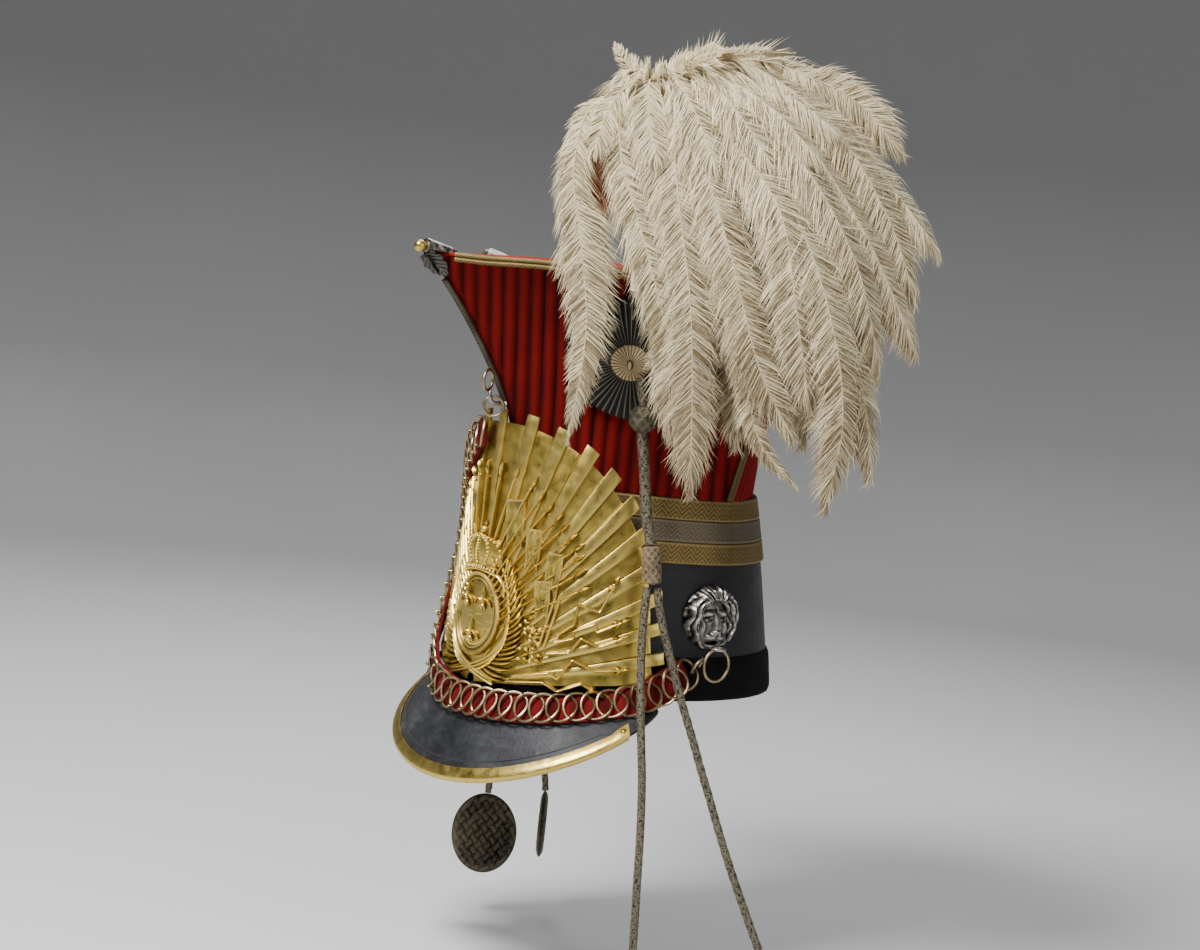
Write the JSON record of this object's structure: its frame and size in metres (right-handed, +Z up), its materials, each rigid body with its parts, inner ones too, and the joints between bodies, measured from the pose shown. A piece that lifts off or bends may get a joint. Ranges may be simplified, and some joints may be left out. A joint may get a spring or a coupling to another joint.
{
  "type": "lancer cap",
  "caption": "Lancer cap with a leather skull, ribbed square-topped pavilion, sunburst plate, peak, chin chain, cap lines, cockade and drooping feather plume.",
  "frame": {"origin": "centre of the head opening, in the plane of the rim", "axes": "+Z up through the square top, -Y to the front corner and the peak, +X to the wearer's left"},
  "size_m": [0.3643, 0.361, 0.5274],
  "materials": {
    "leather": "black, satin, worn",
    "velvet": "black velvet",
    "red_cloth": "dark red napped cloth",
    "gold_lace": "woven gold lace, dulled",
    "silver_lace": "woven silver lace, dulled",
    "brass": "stamped, polished high spots",
    "silver": "tarnished silver plate",
    "wire": "tarnished drawn wire",
    "black_ribbon": "charcoal pleated ribbon",
    "cream_ribbon": "cream pleated ribbon",
    "cord": "grey-gold metallic braid",
    "feather": "cream ostrich feather"
  },
  "bodies": {
    "root": {"skull": "leather", "visor": "leather", "base_band": "velvet", "pavilion": "red_cloth", "top_cloth": "red_cloth", "chin_strap": "red_cloth", "lace_gold_lower": "gold_lace", "lace_gold_upper": "gold_lace", "plume_stem": "gold_lace", "edge_braid_front": "gold_lace", "edge_braid_left": "gold_lace", "edge_braid_back": "gold_lace", "edge_braid_right": "gold_lace", "top_braid_front_left": "gold_lace", "top_braid_left_back": "gold_lace", "top_braid_back_right": "gold_lace", "top_braid_right_front": "gold_lace", "lace_silver": "silver_lace", "plate": "brass", "visor_trim": "brass", "corner_knob_front": "brass", "corner_knob_left": "brass", "corner_knob_back": "brass", "corner_knob_right": "brass", "plate_hook": "silver", "lion_boss_left": "silver", "lion_boss_right": "silver", "corner_cap_front": "silver", "corner_cap_left": "silver", "corner_cap_back": "silver", "corner_cap_right": "silver", "chain_end_ring_lower": "wire", "chain_end_ring_upper": "wire", "boss_ring_left": "wire", "boss_ring_right": "wire", "chin_chain": "wire", "cockade": "black_ribbon", "cockade_centre": "cream_ribbon", "cord_top": "cord", "cord_main": "cord", "cord_left": "cord", "cord_right": "cord", "flounder_cord_near": "cord", "flounder_cord_far": "cord", "cord_knot": "cord", "cord_slider": "cord", "cord_left_end": "cord", "cord_right_end": "cord", "flounder_near": "cord", "flounder_far": "cord", "plume": "feather"}
  },
  "joints": []
}
